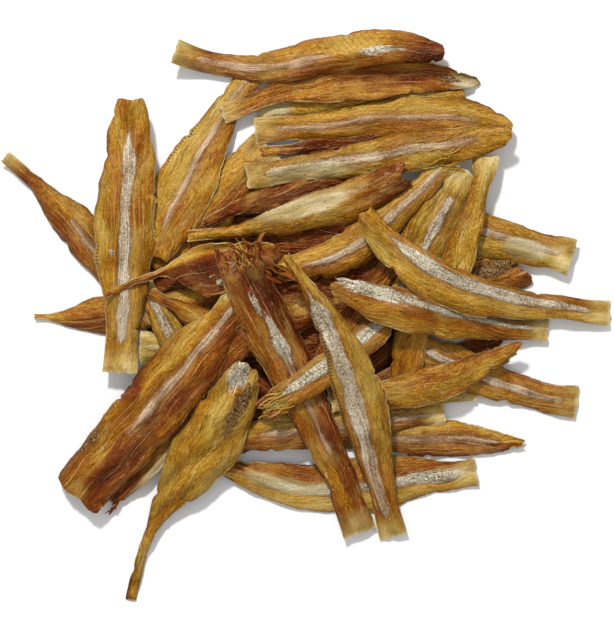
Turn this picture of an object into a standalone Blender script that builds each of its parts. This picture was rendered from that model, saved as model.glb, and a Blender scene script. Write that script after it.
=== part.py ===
"""A heap of dried anchovies, headless and split, lying loose on a flat surface.

Every fish is a thin, wavy leaf with a cut tail stub, a broad belly and a torn head end.
The fish are laid down one by one, from the lowest to the highest. Each one comes to rest
like a stiff strip on whatever lies under it, and all of them are then joined, with the
low core under their middle, into one closed solid.
"""

import math
import random
from typing import NamedTuple

import bmesh
import bpy
import numpy as np

MM = 0.001

# Names
HEAP_NAME = "anchovy_heap"
COLLECTION_NAME = "dried_anchovies"

# The middle of the heap's outline in the layout, in mm, which becomes the origin
MIDDLE = (-0.8, 0.7)

# One fish, in mm
LEAF_THICKNESS = 1.5
STEPS_ALONG = 9
STEPS_ACROSS = 4
NARROWEST_AT = 0.12
NARROWING = 0.85
WAVE_HEIGHT = 0.55
WAVES_ALONG = 2.5
END_CURVE_SHARE = 0.3

# How the fish rest, in mm and degrees
FLOOR_CLEARANCE = 0.3
BITE = 0.45
SINKING_SHARE = 0.35
MOST_LEAN = 16.0
LEAN_SHARE = 0.6
CELL = 1.0
HALF_FIELD = 120.0
SAMPLES_PER_STEP = 8

# The core under the middle of the heap, in mm
CORE_CENTRE = (-8.0, 8.0)
CORE_FOOT = (43.0, 37.0)
CORE_TOP_SHARE = 0.6
CORE_HEIGHT = 5.0
CORE_SIDES = 11

# Colour and finish
DRIED_FLESH = (0.43, 0.19, 0.03, 1.0)
FLESH_ROUGHNESS = 0.45

WAVE_SEED = 11


class Fish(NamedTuple):
    """One fish of the heap: where its two ends lie, in mm, and how it is shaped.

    bow and sway bend the line from tail to head to the left: bow as one arch, sway as
    an S. belly, stub and snout are the widths at the widest place, at the tail cut and
    at the head end. A positive fold makes a ridge of the middle line, a negative one a
    gutter. roll lifts the left side. tail_up and head_up curl the ends upwards.
    """

    name: str
    tail: tuple
    head: tuple
    bow: float = 0.0
    sway: float = 0.0
    belly: float = 12.0
    stub: float = 8.0
    snout: float = 4.0
    belly_at: float = 0.6
    fold: float = 14.0
    roll: float = 0.0
    tail_up: float = 0.0
    head_up: float = 0.0


# From the lowest fish to the highest
FISH = (
    Fish("left_point", (-91.5, 0.5), (-22.5, 10.8), bow=-2, belly=10, stub=3, tail_up=1),
    Fish("far_left", (-101.5, 53.2), (-52.5, -2.8), bow=0.5, belly=12, stub=3, tail_up=2),
    Fish("olive_tail_end", (-55.8, -7.8), (-27.5, -9.5), belly=9, stub=8),
    Fish("under_left", (-55.8, 13.8), (-34.2, -26.2), belly=10, stub=7),
    Fish("olive_crumple", (-52.5, 8.8), (-15.2, -11.2), belly=12, fold=24),
    Fish("brown_middle", (-45.8, -17.8), (7.5, 5.5), belly=13, stub=7),
    Fish("broken_end", (-5.8, -36.2), (-36.5, -46.2), belly=9, stub=6, fold=20),
    Fish("bottom_belly", (56.8, -51.8), (-28.5, -47.8), 7, -1.8, belly=15, stub=8.3, fold=10),
    Fish("spear", (7.5, -41.2), (72.8, -43.2), bow=1.8, belly=13.3, stub=8, snout=2),
    Fish("lower_band", (46.2, -31.2), (-25.2, -41.2), belly=12, stub=7.3),
    Fish("small_tail", (56.8, -25.5), (7.5, -27.8), belly=10, stub=5.3),
    Fish("dark_inner", (7.5, -27.8), (60.8, -6.2), belly=12),
    Fish("crumbled_end", (7.5, -4.5), (74.8, 16.2), belly=12, snout=8),
    Fish("right_upper", (88.2, 19.5), (30.8, 38.8), bow=-1, belly=11, stub=12.5),
    Fish("right_lower", (89.8, -28.2), (30.8, -4.5), bow=2.3, belly=13, stub=12),
    Fish("beside_broad", (-15.2, 0.5), (-70.8, -62.2), bow=1.3, belly=15, stub=9, snout=10),
    Fish("under_leaf", (-10.8, 58.8), (-52.5, 15.5), belly=12),
    Fish("between_leaves", (-15.2, 55.5), (44.2, 63.8), belly=12, stub=7),
    Fish("dark_band", (-34.2, 31.5), (19.2, 48.2), bow=2.5, belly=14, stub=5),
    Fish("pale_tail", (-9.2, 70.2), (54.2, 73.8), bow=1, belly=13, stub=5),
    Fish("dotted_edge", (46.2, 46.2), (30.8, 8.8), bow=-3, belly=9, stub=7),
    Fish("yellow_spot", (51.5, 47.5), (27.5, -1.8), bow=-1, belly=11, stub=8),
    Fish("upright_olive", (59.5, 54.8), (39.2, -1.2), bow=2.5, belly=10, stub=9),
    Fish("bent_amber", (48.2, 53.8), (-9.8, 16.2), 7, -1.3, belly=13, stub=8, snout=5),
    Fish("amber_inner", (30.8, 22.2), (0.8, -24.5), belly=11),
    Fish("pale_leaf", (40.8, 20.5), (30.2, -27.8), belly=12, stub=7),
    Fish("wide_leaf", (-16.5, 85.5), (-51.8, 20.5), bow=-2.3, belly=20, stub=8.7, snout=7),
    Fish(
        "broad_lower_left", (-22.5, 5.5), (-78.5, -56.2), 0.5,
        belly=20, stub=11, snout=15, belly_at=0.7, fold=10,
    ),
    Fish("long_thin", (-58.8, -94.5), (-20.8, -16.2), 3.9, 0.9, 16.5, 3.6, 6, belly_at=0.68),
    Fish("left_upright", (-62.2, -18.2), (-59.8, 72.8), 0.5, 0, 19.3, 11.5, 9, fold=9),
    Fish("tipped_over", (-66.8, 8.5), (-5.8, 24.5), bow=2.4, belly=11, stub=4),
    Fish("upper_leaf", (-17.5, 62.8), (68.5, 62.2), 5.2, -1.6, 14, 9, 4, fold=12, head_up=3),
    Fish("lower_leaf", (-20.2, 47.5), (68.5, 61.8), 0, 0, 12.5, 8.7, 4, fold=16, head_up=3),
    Fish("curled_gutter", (-28.5, 68.5), (57.8, 78.8), bow=4.3, belly=12, stub=6, fold=-38),
    Fish("crosswise_top", (-44.2, 87.8), (45.5, 89.5), -2.6, -3, 13.3, 8.3, 4, fold=20, tail_up=5),
    Fish("grey_silver", (-39.8, 27.5), (31.8, 48.8), bow=-3.8, belly=13, stub=4, snout=8),
    Fish("broad_diagonal", (16.2, -71.8), (-25.2, 25.5), -1, -1, 17, 10, 10, belly_at=0.7, fold=9),
    Fish("silver_underpass", (40.8, 16.2), (-16.5, -31.2), bow=3, sway=0.5, belly=11, snout=7),
    Fish("amber_rising", (-2.5, -26.2), (71.8, -8.5), bow=-5, belly=11, head_up=3),
    Fish("silver_belly", (80.8, -4.5), (8.2, 12.8), bow=1.5, belly=13, stub=6.5, snout=3),
    Fish("long_silver", (100.8, 2.2), (19.5, 36.2), 9.8, -1.5, 12, 6.7, 4),
    Fish("long_upright", (28.8, -73.2), (-7.8, 20.8), -4.4, 1.3, 15.5, 9, 5, belly_at=0.5),
)


def smooth_step(share):
    """A soft rise from 0 to 1 as share goes from 0 to 1."""
    share = np.clip(share, 0.0, 1.0)
    return share * share * (3.0 - 2.0 * share)


def middle_line(fish, along):
    """Points of the middle line seen from above, and the unit vectors to its left."""
    tail, head = np.array(fish.tail, float), np.array(fish.head, float)
    run = head - tail
    length = np.linalg.norm(run)
    left = np.array((-run[1], run[0])) / length
    aside = fish.bow * 4.0 * along * (1.0 - along) + fish.sway * np.sin(math.tau * along)
    turn = fish.bow * 4.0 * (1.0 - 2.0 * along) + fish.sway * math.tau * np.cos(math.tau * along)
    points = tail + along[:, None] * run + aside[:, None] * left
    tangent = run + turn[:, None] * left
    tangent /= np.linalg.norm(tangent, axis=1)[:, None]
    return points, np.stack((-tangent[:, 1], tangent[:, 0]), axis=1)


def half_width(fish, along):
    """Half the width: the tail stub narrows, the belly swells and the head end rounds off."""
    neck = fish.stub * NARROWING
    stub = neck + (fish.stub - neck) * (1.0 - smooth_step(along / NARROWEST_AT))
    swell = smooth_step((along - NARROWEST_AT) / (fish.belly_at - NARROWEST_AT))
    body = stub + (fish.belly - neck) * swell
    past = np.clip((along - fish.belly_at) / (1.0 - fish.belly_at), 0.0, 1.0)
    round_off = 1.0 - np.sqrt(1.0 - past**2)
    return (body + (fish.snout - fish.belly) * round_off) / 2.0


def leaf(fish, along, across, phase):
    """Places of a leaf's points seen from above, and their rise over its middle line."""
    points, left = middle_line(fish, along)
    half = half_width(fish, along)[:, None]
    fold = math.radians(fish.fold)
    reach = half * across[None, :] * math.cos(fold)
    x = points[:, 0:1] + reach * left[:, 0:1]
    y = points[:, 1:2] + reach * left[:, 1:2]
    ridge = -half * np.abs(across[None, :]) ** 1.5 * math.sin(fold)
    wave = WAVE_HEIGHT * np.sin(math.tau * WAVES_ALONG * along[:, None] + phase)
    wave = wave * across[None, :]
    curl = fish.tail_up * np.clip(1.0 - along / END_CURVE_SHARE, 0.0, 1.0) ** 2
    curl = curl + fish.head_up * np.clip((along - 1.0) / END_CURVE_SHARE + 1.0, 0.0, 1.0) ** 2
    return x, y, ridge + wave + curl[:, None], reach


class Ground:
    """Height of everything laid down so far, in square cells seen from above."""

    def __init__(self):
        count = int(2 * HALF_FIELD / CELL)
        centres = (np.arange(count) + 0.5) * CELL - HALF_FIELD
        x, y = np.meshgrid(centres, centres, indexing="ij")
        away = np.hypot((x - CORE_CENTRE[0]) / CORE_FOOT[0], (y - CORE_CENTRE[1]) / CORE_FOOT[1])
        away = away / math.cos(math.pi / CORE_SIDES)
        rise = np.clip((1.0 - away) / (1.0 - CORE_TOP_SHARE), 0.0, 1.0)
        self.height = np.maximum(FLOOR_CLEARANCE, CORE_HEIGHT * rise)

    @staticmethod
    def cells(x, y):
        """The cells that hold these points."""
        return tuple(((p + HALF_FIELD) / CELL).astype(int) for p in (x, y))

    def under(self, x, y):
        """Height of the ground under these points."""
        return self.height[self.cells(x, y)]

    def cover(self, x, y, top):
        """Raises the ground to a leaf's upper side, read between its points."""
        rows, columns = x.shape
        fine_rows = np.linspace(0, rows - 1, (rows - 1) * SAMPLES_PER_STEP + 1)
        fine_columns = np.linspace(0, columns - 1, (columns - 1) * SAMPLES_PER_STEP + 1)
        fine = [between(values, fine_rows, fine_columns) for values in (x, y, top)]
        np.maximum.at(self.height, self.cells(fine[0], fine[1]), fine[2])


def between(values, rows, columns):
    """Values of a grid read at rows and columns between its own."""
    row = np.minimum(rows.astype(int), values.shape[0] - 2)
    column = np.minimum(columns.astype(int), values.shape[1] - 2)
    down, right = (rows - row)[:, None], (columns - column)[None, :]
    corner = [values[np.ix_(row + i, column + j)] for i in (0, 1) for j in (0, 1)]
    first = corner[0] * (1 - right) + corner[1] * right
    second = corner[2] * (1 - right) + corner[3] * right
    return first * (1 - down) + second * down


def support_line(along, need, balance):
    """Height of a stiff strip that rests on the two highest supports beside its balance."""
    best, line = -math.inf, need
    for i in np.flatnonzero(along <= balance):
        for j in np.flatnonzero(along > balance):
            slope = (need[j] - need[i]) / (along[j] - along[i])
            at_balance = need[i] + slope * (balance - along[i])
            if at_balance > best:
                best, line = at_balance, need[i] + slope * (along - along[i])
    return line


def smoothed(values, passes):
    """Values eased along a row, its ends kept."""
    for _ in range(passes):
        padded = np.concatenate((values[:1], values, values[-1:]))
        values = (padded[:-2] + 2 * padded[1:-1] + padded[2:]) / 4
    return values


def lay_down(fish, ground, phase):
    """Rests one fish on the ground, raises the ground by it and returns its points."""
    along = np.linspace(0.0, 1.0, STEPS_ALONG + 1)
    across = np.linspace(-1.0, 1.0, STEPS_ACROSS + 1)
    x, y, rise, reach = leaf(fish, along, across, phase)
    below = ground.under(x, y)
    slant = np.sum(below * reach) / np.sum(reach**2)
    lean = np.clip(LEAN_SHARE * math.degrees(math.atan(slant)), -MOST_LEAN, MOST_LEAN)
    rise = rise + reach * math.tan(math.radians(lean + fish.roll))
    need = np.max(below + LEAF_THICKNESS / 2 - rise, axis=1)
    line = support_line(along, need, balance=fish.belly_at - 0.08)
    room = np.clip(line - need, 0.0, None)
    middle = np.maximum(line - SINKING_SHARE * smoothed(room, 2), need)
    height = np.maximum(middle[:, None] + rise - BITE, FLOOR_CLEARANCE + LEAF_THICKNESS / 2)
    ground.cover(x, y, height + LEAF_THICKNESS / 2)
    return np.stack((x - MIDDLE[0], y - MIDDLE[1], height), axis=2) * MM


def make_leaf(fish, points, collection):
    """A thin solid of the fish's own points: a grid, moved, triangulated and thickened."""
    bm = bmesh.new()
    bmesh.ops.create_grid(bm, x_segments=STEPS_ALONG, y_segments=STEPS_ACROSS, size=1.0)
    for vert in bm.verts:
        row = round((vert.co.x + 1.0) / 2.0 * STEPS_ALONG)
        column = round((vert.co.y + 1.0) / 2.0 * STEPS_ACROSS)
        vert.co = points[row, column]
    bmesh.ops.triangulate(bm, faces=bm.faces[:])
    mesh = bpy.data.meshes.new(fish.name)
    bm.to_mesh(mesh)
    bm.free()
    piece = bpy.data.objects.new(fish.name, mesh)
    collection.objects.link(piece)
    wall = piece.modifiers.new("Thickness", "SOLIDIFY")
    wall.thickness = LEAF_THICKNESS * MM
    wall.offset = 0.0
    return piece


def make_core(name, collection):
    """The low mound under the heap, with the flat foot that it rests on."""
    bm = bmesh.new()
    bmesh.ops.create_cone(
        bm,
        cap_ends=True,
        segments=CORE_SIDES,
        radius1=1.0,
        radius2=CORE_TOP_SHARE,
        depth=CORE_HEIGHT * MM,
    )
    bmesh.ops.scale(bm, vec=(CORE_FOOT[0] * MM, CORE_FOOT[1] * MM, 1.0), verts=bm.verts[:])
    mesh = bpy.data.meshes.new(name)
    bm.to_mesh(mesh)
    bm.free()
    core = bpy.data.objects.new(name, mesh)
    core.location = (
        (CORE_CENTRE[0] - MIDDLE[0]) * MM,
        (CORE_CENTRE[1] - MIDDLE[1]) * MM,
        CORE_HEIGHT * MM / 2,
    )
    collection.objects.link(core)
    return core


def connected_parts(bm):
    """The mesh's separate bodies, each as a list of faces."""
    left, parts = set(bm.faces), []
    while left:
        part, front = [], [left.pop()]
        while front:
            face = front.pop()
            part.append(face)
            for edge in face.edges:
                for other in edge.link_faces:
                    if other in left:
                        left.remove(other)
                        front.append(other)
        parts.append(part)
    return parts


def keep_outer_body(mesh):
    """Drops loose scraps and the walls of sealed hollows."""
    bm = bmesh.new()
    bm.from_mesh(mesh)
    parts = connected_parts(bm)
    largest = max(parts, key=lambda part: sum(face.calc_area() for face in part))
    spare = [face for part in parts if part is not largest for face in part]
    bmesh.ops.delete(bm, geom=spare, context="FACES")
    bmesh.ops.triangulate(bm, faces=bm.faces[:])
    bm.to_mesh(mesh)
    bm.free()


def make_flesh():
    """Dried fish flesh: translucent amber brown, half glossy."""
    flesh = bpy.data.materials.new("dried_flesh")
    flesh.use_nodes = True
    shader = flesh.node_tree.nodes["Principled BSDF"]
    shader.inputs["Base Color"].default_value = DRIED_FLESH
    shader.inputs["Roughness"].default_value = FLESH_ROUGHNESS
    return flesh


def main():
    for thing in list(bpy.data.objects):
        bpy.data.objects.remove(thing)
    whole = bpy.data.collections.new(COLLECTION_NAME)
    loose = bpy.data.collections.new("loose_fish")
    for collection in (whole, loose):
        bpy.context.scene.collection.children.link(collection)

    ground = Ground()
    draw = random.Random(WAVE_SEED)
    for fish in FISH:
        points = lay_down(fish, ground, draw.uniform(0.0, math.tau))
        make_leaf(fish, points, loose)

    core = make_core("core", whole)
    union = core.modifiers.new("Union", "BOOLEAN")
    union.operation = "UNION"
    union.operand_type = "COLLECTION"
    union.collection = loose
    bpy.context.view_layer.update()
    joined = core.evaluated_get(bpy.context.evaluated_depsgraph_get())
    mesh = bpy.data.meshes.new_from_object(joined)
    mesh.name = HEAP_NAME
    mesh.transform(core.matrix_world)
    for thing in [core, *loose.objects]:
        bpy.data.objects.remove(thing)
    bpy.data.collections.remove(loose)

    keep_outer_body(mesh)
    mesh.materials.clear()
    mesh.materials.append(make_flesh())
    heap = bpy.data.objects.new(HEAP_NAME, mesh)
    whole.objects.link(heap)


main()
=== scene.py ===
"""A heap of dried anchovies, headless and split, lying loose on a pale floor.

Every fish is a leaf of dried flesh: two lobes beside a raised stripe of silver skin, a cut
tail stub at one end and a torn head end at the other. The fish are laid down from the
lowest to the highest, and each comes to rest like a stiff strip on what already lies there.
"""

import math
import random
from functools import partial
from typing import NamedTuple

import bpy
import numpy as np
from bpy.props import FloatProperty, FloatVectorProperty, IntProperty, PointerProperty
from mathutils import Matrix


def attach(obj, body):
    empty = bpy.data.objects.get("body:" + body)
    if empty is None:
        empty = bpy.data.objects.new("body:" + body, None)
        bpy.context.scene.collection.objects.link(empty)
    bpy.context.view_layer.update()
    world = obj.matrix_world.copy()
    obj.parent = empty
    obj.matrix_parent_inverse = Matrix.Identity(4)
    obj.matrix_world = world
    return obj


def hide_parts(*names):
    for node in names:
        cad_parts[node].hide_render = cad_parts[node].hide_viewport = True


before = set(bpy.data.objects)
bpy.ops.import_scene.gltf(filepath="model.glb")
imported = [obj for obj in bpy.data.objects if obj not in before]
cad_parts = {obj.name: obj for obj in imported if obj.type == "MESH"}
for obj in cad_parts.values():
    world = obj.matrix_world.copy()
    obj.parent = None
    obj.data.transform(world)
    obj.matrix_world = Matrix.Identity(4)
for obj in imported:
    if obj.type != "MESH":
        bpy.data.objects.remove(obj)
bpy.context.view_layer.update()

bl_info = {
    "name": "Dried Anchovy Heap",
    "version": (1, 0, 0),
    "blender": (4, 5, 0),
    "location": "View3D > Sidebar > Anchovies",
    "description": "Lays a heap of dried, split anchovies over a low core",
    "category": "Object",
}

MM = 0.001
HEAP_NODE = "anchovy_heap"
BODY = "root"

# The photo's height in pixels
PICTURE_HEIGHT = 637

# The middle of the heap's outline in the layout, in mm, which is the frame's origin
MIDDLE = (-0.8, 0.7)

# The shape of one fish, in mm: how far in the fold beside the stripe, the thin rim, the uneven
# cut and the torn head end reach, and how far apart small tears are
CREASE_WIDTH = 1.4
RIM_WIDTH = 2.6
CUT_REACH = 8.0
TORN_REACH = 14.0
TEAR_SPACING = 26

# Shares of a fish's length over which the stripe fades in at the tail, and the ends curve up
STRIPE_FADE = 0.03
END_CURVE_SHARE = 0.3

# How the fish rest: their lean in degrees and as a share of the slope under them, and in mm
# the cells and the half width of the height map, and the room left over the floor
MOST_LEAN = 16.0
LEAN_SHARE = 0.6
CELL = 0.7
HALF_FIELD = 120.0
FLOOR_CLEARANCE = 0.3

# The hidden core: its middle and half its length and width in mm, and the share of them over
# which it rises to its full height
CORE_CENTRE = (-8.0, 8.0)
CORE_FOOT = (48.0, 40.0)
CORE_SLOPE = 0.4

# Rows of faces along one loose strip, its thickness in mm, and how steeply it may lie
STRIP_ROWS = 10
STRIP_THICKNESS = 0.22
STRIP_FALL = 0.35

# What the material reads far from a stripe, an edge or a tail cut, and how far the patterns of
# two fish or two strips lie apart, in mm
NO_STRIPE = -9.0
NO_EDGE = 9.0
NO_CUT = 50.0
FISH_SHIFT = 37.37
STRIP_SHIFT = 3.7

LAYOUT_SEED = 11

# Metres: the softbox, and the height of the heap that the picture scale holds for
SOFTBOX_SIZE = 0.16
SOFTBOX_PLACE = (-0.28, 0.86, 1.05)
MEAN_HEIGHT = 0.008


class Mark(NamedTuple):
    """A place that looks different on a fish: its middle, its length and its width in mm.

    The middle is given from the tail cut and to the left of the middle line. Gold is
    bright and maroon dark flesh. Skin is smooth and grey, and silver is bright scales,
    where it is small also a painted glint. Crumbs are dark grains and ribs are slanting
    lines. Pores are a row of short dark ticks along one edge, where only the sign of
    across counts.
    """

    kind: str
    along: float
    across: float
    length: float
    width: float


class Fish(NamedTuple):
    """One fish: where its two ends lie, in mm, how it is shaped and how it looks.

    tones run from dark to pale and hues from red brown over amber to olive, both for the
    left and the right lobe. stripe is the silver skin's width in mm, thins its width at
    the tail as a share, and shine its look at the tail and at the head, from pinkish and
    dull to silver and bright. bow and sway bend the line from tail to head to the left:
    bow as one arch, sway as an S. belly, stub and snout are flat widths at the widest
    place, at the tail cut and at the head end, and neck is the stub's narrowest width as
    a share of its cut. point runs from a rounded to a pointed head end. folds turn the
    left and the right lobe up, in degrees. split is the left lobe's share of the width.
    torn says how ragged the head is, and crumple how deep the flesh is folded. tail_up and
    head_up lift the ends, in mm. belly_at and neck_at are the places of the belly and the
    neck, flat_to where the folds are full, and span where the stripe starts and ends, all
    as shares of the length.
    """

    name: str
    tail: tuple
    head: tuple
    tones: tuple
    hues: tuple
    stripe: float
    bow: float = 0.0
    sway: float = 0.0
    belly: float = 12.0
    stub: float = 8.0
    snout: float = 4.0
    belly_at: float = 0.6
    neck: float = 0.92
    neck_at: float = 0.12
    point: float = 0.3
    folds: tuple = (-17.0, -17.0)
    flat_to: float = 0.22
    split: float = 0.5
    thins: float = 0.8
    shine: tuple = (0.2, 0.2)
    span: tuple = (0.06, 0.9)
    torn: float = 0.3
    crumple: float = 0.0
    tail_up: float = 0.0
    head_up: float = 0.0
    marks: tuple = ()


# From the lowest fish to the highest
UNDER_FISH = (
    # The four hidden fish show only in the gaps, and their dark red brown tones are painted shade
    Fish("hidden_right", (47, 6), (2, -31), (0.3, 0.26), (0.05, 0), 0),
    Fish("hidden_low", (-42, -8), (4, -37), (0.34, 0.32), (0.1, 0.05), 0),
    Fish("hidden_far", (-30, 44), (26, 30), (0.28, 0.26), (0, 0), 0),
    Fish("hidden_fan", (57, 35), (20, 0), (0.36, 0.32), (0.15, 0.1), 0),
    Fish("left_point", (-91.5, 0.3), (-22.5, 9.2), (0.55, 0.42), (0.45, 0.4), 0, bow=-2.6, belly=13.5,
         stub=1.6, belly_at=0.34, neck=1, neck_at=0.02, tail_up=1),
    Fish("far_left", (-101.3, 54.3), (-53.3, -3.3), (0.46, 0.42), (0.5, 0.4), 2, bow=3.3, belly=14,
         stub=4.4, belly_at=0.45, neck=1, span=(0.4, 1), tail_up=3),
    Fish("olive_tail_end", (-56.2, -9.6), (-27.5, -11), (0.62, 0.6), (1, 0.9), 2.2, belly=13, stub=11.5,
         shine=(0.6, 0.6)),
    Fish("under_left", (-55.8, 13.8), (-34.2, -26.2), (0.58, 0.5), (0.9, 0.8), 3, belly=11, stub=7,
         shine=(0.7, 0.7)),
    Fish("olive_crumple", (-52.5, 8.8), (-15.2, -11.2), (0.5, 0.44), (0.5, 0.3), 0, stub=3.9,
         folds=(-26, -20)),
    Fish("brown_middle", (-45.8, -17.8), (7.5, 5.5), (0.5, 0.42), (0.35, 0.2), 2.6, belly=13, stub=7,
         shine=(0.8, 0.8), span=(0.1, 0.5)),
    Fish("broken_end", (-3, -31), (-33, -43), (0.46, 0.42), (0.35, 0.25), 0, belly=14, stub=6, torn=0.8),
    Fish("bottom_belly", (57, -51.4), (-28.5, -50), (0.62, 0.44), (0.6, 0.4), 3, bow=6.2, sway=-1.4,
         belly=19.2, stub=9.8, belly_at=0.42, neck_at=0.03, point=0.6, folds=(-20, -10), split=0.46,
         shine=(0.8, 0.6), marks=(Mark("silver", 16, -0.5, 24, 4), Mark("skin", 64, -0.5, 32, 5.5),
         Mark("gold", 50, 4.5, 36, 7))),
    Fish("spear", (7.5, -40.4), (73.2, -42.1), (0.54, 0.42), (0.65, 0.3), 2.2, bow=0.9, belly=13, snout=2,
         point=1, shine=(0.1, 0.1), torn=0.1),
    Fish("lower_band", (46.2, -31.5), (-25.2, -40.5), (0.42, 0.6), (0.35, 0.85), 2.2, belly=14, stub=8.3,
         shine=(0.2, 0.1)),
    Fish("small_tail", (56.8, -25.2), (7.5, -27.5), (0.58, 0.58), (0.85, 0.85), 0, belly=10, stub=5.3),
    Fish("dark_inner", (7.5, -27.8), (67.5, -9.4), (0.42, 0.4), (0.25, 0.2), 0, belly=13, snout=9,
         torn=0.6, marks=(Mark("silver", 44, 0, 9, 3), Mark("maroon", 42, 0, 40, 10))),
    Fish("crumbled_end", (7.5, -4.5), (74, 17.6), (0.5, 0.47), (0.55, 0.5), 0, belly=17, snout=12,
         torn=0.5, crumple=0.6, marks=(Mark("crumbs", 57, 3, 30, 5),)),
    Fish("right_upper", (88.8, 20.2), (30.8, 38), (0.6, 0.52), (0.85, 0.62), 2.4, bow=-0.3, belly=15,
         stub=12.5, folds=(-16, -14), split=0.58, shine=(0.15, 0.45), marks=(Mark("skin", 16, 2, 16, 7),
         Mark("gold", 5, 0, 5, 3.4), Mark("gold", 40, 3, 24, 6))),
    Fish("right_lower", (90.8, -28.5), (30.8, -4.5), (0.52, 0.52), (0.6, 0.45), 2.4, bow=3.8, belly=13.5,
         stub=11, shine=(0.3, 0.6)),
    Fish("beside_broad", (-15.2, 0.5), (-69.8, -61), (0.44, 0.38), (0.3, 0.12), 0, bow=1.5, belly=16.3,
         stub=9, snout=9, folds=(12, -10), torn=0.8, marks=(Mark("skin", 46, 6.2, 54, 3),
         Mark("maroon", 30, 3, 22, 9))),
    Fish("under_leaf", (-12.6, 57.4), (-54, 17), (0.48, 0.54), (0.45, 0.5), 0, belly=20, stub=14, neck=1),
    # between_leaves and dark_band lie in shaded gaps, and their dark red tones are painted shade
    Fish("between_leaves", (-15.2, 55.3), (44.2, 63.8), (0.32, 0.3), (0, 0), 0, belly=15, stub=3.9,
         crumple=0.8),
    Fish("dark_band", (-34.2, 31.5), (19.2, 48.2), (0.36, 0.3), (0.1, 0.02), 0, bow=2.5, belly=14,
         stub=3.9, crumple=0.8),
    Fish("pale_tail", (-17, 69.8), (54.2, 73.8), (0.64, 0.6), (0.7, 0.6), 0, bow=1,
         marks=(Mark("skin", 4, 0, 18, 9),)),
)
RIGHT_FAN = (
    Fish("dotted_edge", (46.2, 46.2), (30.8, 8.8), (0.52, 0.48), (0.75, 0.7), 0, bow=-3, belly=9, stub=7,
         marks=(Mark("pores", 18, -1, 30, 1),)),
    Fish("yellow_spot", (53.2, 49.6), (27.5, -1.8), (0.5, 0.55), (0.75, 0.8), 3.2, bow=-1, belly=12.5,
         stub=10.5, split=0.6, shine=(0.6, 0.9), span=(0.17, 1), marks=(Mark("gold", 5.5, 0.5, 6, 4),)),
    Fish("upright_olive", (59.8, 55.2), (38.6, -1.2), (0.57, 0.5), (0.8, 0.72), 0, bow=1.2, belly=11.5,
         stub=9.4, neck=0.7, neck_at=0.2, folds=(-8, -26), split=0.7),
    Fish("bent_amber", (48.2, 53.8), (-9.8, 16.2), (0.52, 0.58), (0.55, 0.55), 2.4, bow=7, sway=-1.3,
         belly=14, snout=5, shine=(0.35, 0.45)),
    Fish("amber_inner", (30.8, 22.2), (0.8, -24.5), (0.48, 0.42), (0.4, 0.3), 0),
    Fish("pale_leaf", (40.8, 20.5), (30.2, -27.8), (0.58, 0.52), (0.55, 0.5), 0, stub=7),
)
LEFT_LEAVES = (
    Fish("wide_leaf", (-16.5, 85.5), (-51.8, 20.5), (0.5, 0.6), (0.5, 0.7), 2.2, bow=-2.3, belly=21,
         stub=9.5, snout=9, belly_at=0.7, neck_at=0.15, folds=(-12, -8), split=0.51, shine=(0.1, 0.25),
         torn=0.1, marks=(Mark("pores", 36, -1, 20, 1),)),
    Fish("broad_lower_left", (-19.5, 9.1), (-77.8, -60.1), (0.46, 0.43), (0.34, 0.6), 2.4, bow=0.2,
         belly=22.6, stub=12, snout=17, belly_at=0.34, point=0, folds=(-20, -10), split=0.52,
         shine=(0.4, 0), span=(0.06, 0.7), crumple=0.4, marks=(Mark("crumbs", 72, -8.6, 9, 3),
         Mark("gold", 26, -5.5, 40, 9), Mark("maroon", 66, 4, 44, 9), Mark("maroon", 50, -9, 10, 5))),
    # The silver mark at long_thin's head end is bright scales, and partly a painted highlight on a glossy
    # patch
    Fish("long_thin", (-58.9, -94.5), (-19.8, -14.8), (0.5, 0.55), (0.75, 0.7), 0, bow=3.6, sway=2.1,
         belly=21.8, stub=3.6, snout=5, belly_at=0.64, neck=0.95, neck_at=0.22, folds=(-22, -12),
         split=0.43, torn=0.1, crumple=1, marks=(Mark("crumbs", 74, -4.4, 18, 5),
         Mark("silver", 84, 0.6, 11, 7), Mark("gold", 66, 3, 18, 6))),
    # left_upright's tiny silver mark is a painted glint
    Fish("left_upright", (-62.2, -18.2), (-58.5, 73.5), (0.53, 0.49), (0.66, 0.58), 3.6, belly=20.8,
         stub=11.8, snout=8, belly_at=0.5, point=0.5, folds=(-9, -15), split=0.51, shine=(0.6, 0.5),
         span=(0.1, 0.9), torn=0.1, marks=(Mark("silver", 40, 4, 2.6, 2), Mark("pores", 39, 1, 10, 1))),
    Fish("tipped_over", (-66.8, 7.8), (-10, 23.5), (0.58, 0.42), (0.55, 0.1), 0, bow=3.4, belly=18,
         stub=2, neck=1.2, neck_at=0.3, folds=(34, -8), flat_to=0.3, split=0.26, crumple=0.5,
         marks=(Mark("maroon", 34, -6, 30, 10),)),
)
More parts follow.
